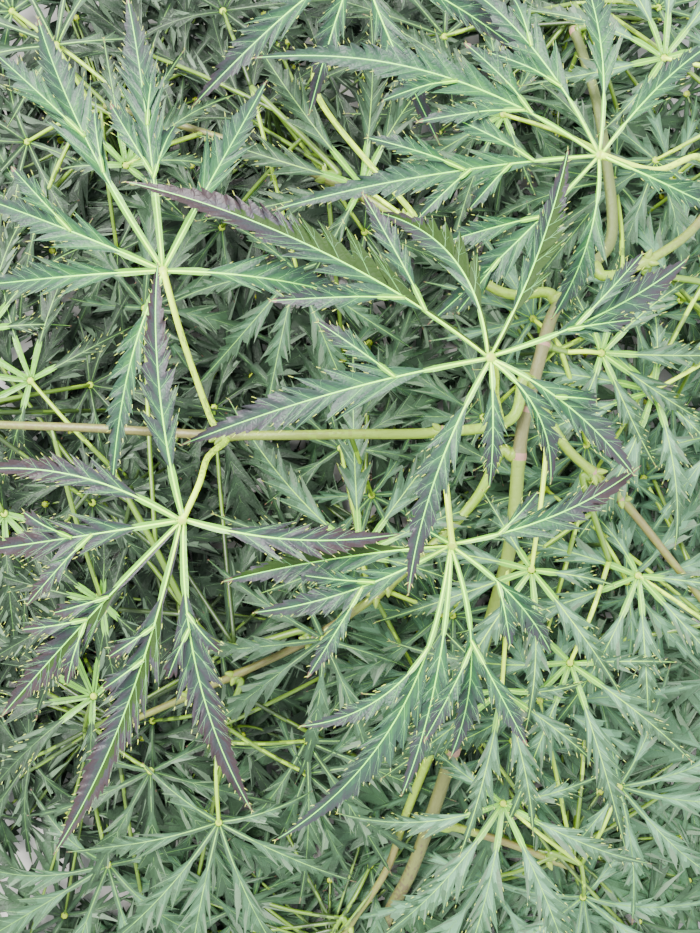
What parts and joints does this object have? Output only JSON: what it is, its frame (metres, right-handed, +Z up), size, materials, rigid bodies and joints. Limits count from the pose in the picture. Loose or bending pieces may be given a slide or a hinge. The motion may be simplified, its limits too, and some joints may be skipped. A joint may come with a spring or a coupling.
{
  "type": "cut branch of laceleaf japanese maple",
  "caption": "Cut maple branch lying flat: one tapering stem with side shoots and layered sprays of finely cut, deeply lobed leaves.",
  "frame": {"origin": "middle of the branch's reach, on the level surface that it lies on", "axes": "+Z up from the surface, +Y along the branch from the cut end to the tip, +X to its right seen from above"},
  "size_m": [0.2689, 0.3472, 0.0943],
  "materials": {
    "bark": "thin smooth brown bark with fine ridges",
    "green_bark": "smooth young bark, tan to yellow-green",
    "leaves": "soft satin leaf, grey-green with purple-grey margins and pale veins",
    "deep_leaves": "soft satin leaf, mid green with pale veins"
  },
  "bodies": {
    "root": {"main_stem": "bark", "left_shoot": "green_bark", "lower_left_shoot": "green_bark", "lower_right_shoot": "green_bark", "right_shoot": "green_bark", "upper_left_shoot": "green_bark", "bottom_left_shoot": "green_bark", "bottom_right_shoot": "green_bark", "leaf_upper_left": "leaves", "leaf_lower_left": "leaves", "leaf_centre": "leaves", "leaf_lower_centre": "leaves", "leaf_upper_right": "leaves", "leaf_top": "leaves", "spray_left_tip": "deep_leaves", "spray_left": "deep_leaves", "spray_lower_left": "deep_leaves", "spray_lower_middle": "deep_leaves", "spray_centre": "deep_leaves", "spray_bottom": "deep_leaves", "spray_bottom_right": "deep_leaves", "spray_right_middle": "deep_leaves", "spray_right_low": "deep_leaves", "spray_right": "deep_leaves", "spray_fork": "deep_leaves", "spray_right_top": "deep_leaves", "spray_top": "deep_leaves", "spray_upper_left": "deep_leaves", "spray_far_left": "deep_leaves", "spray_under_left": "deep_leaves", "spray_under_middle": "deep_leaves", "spray_under_right": "deep_leaves"}
  },
  "joints": []
}
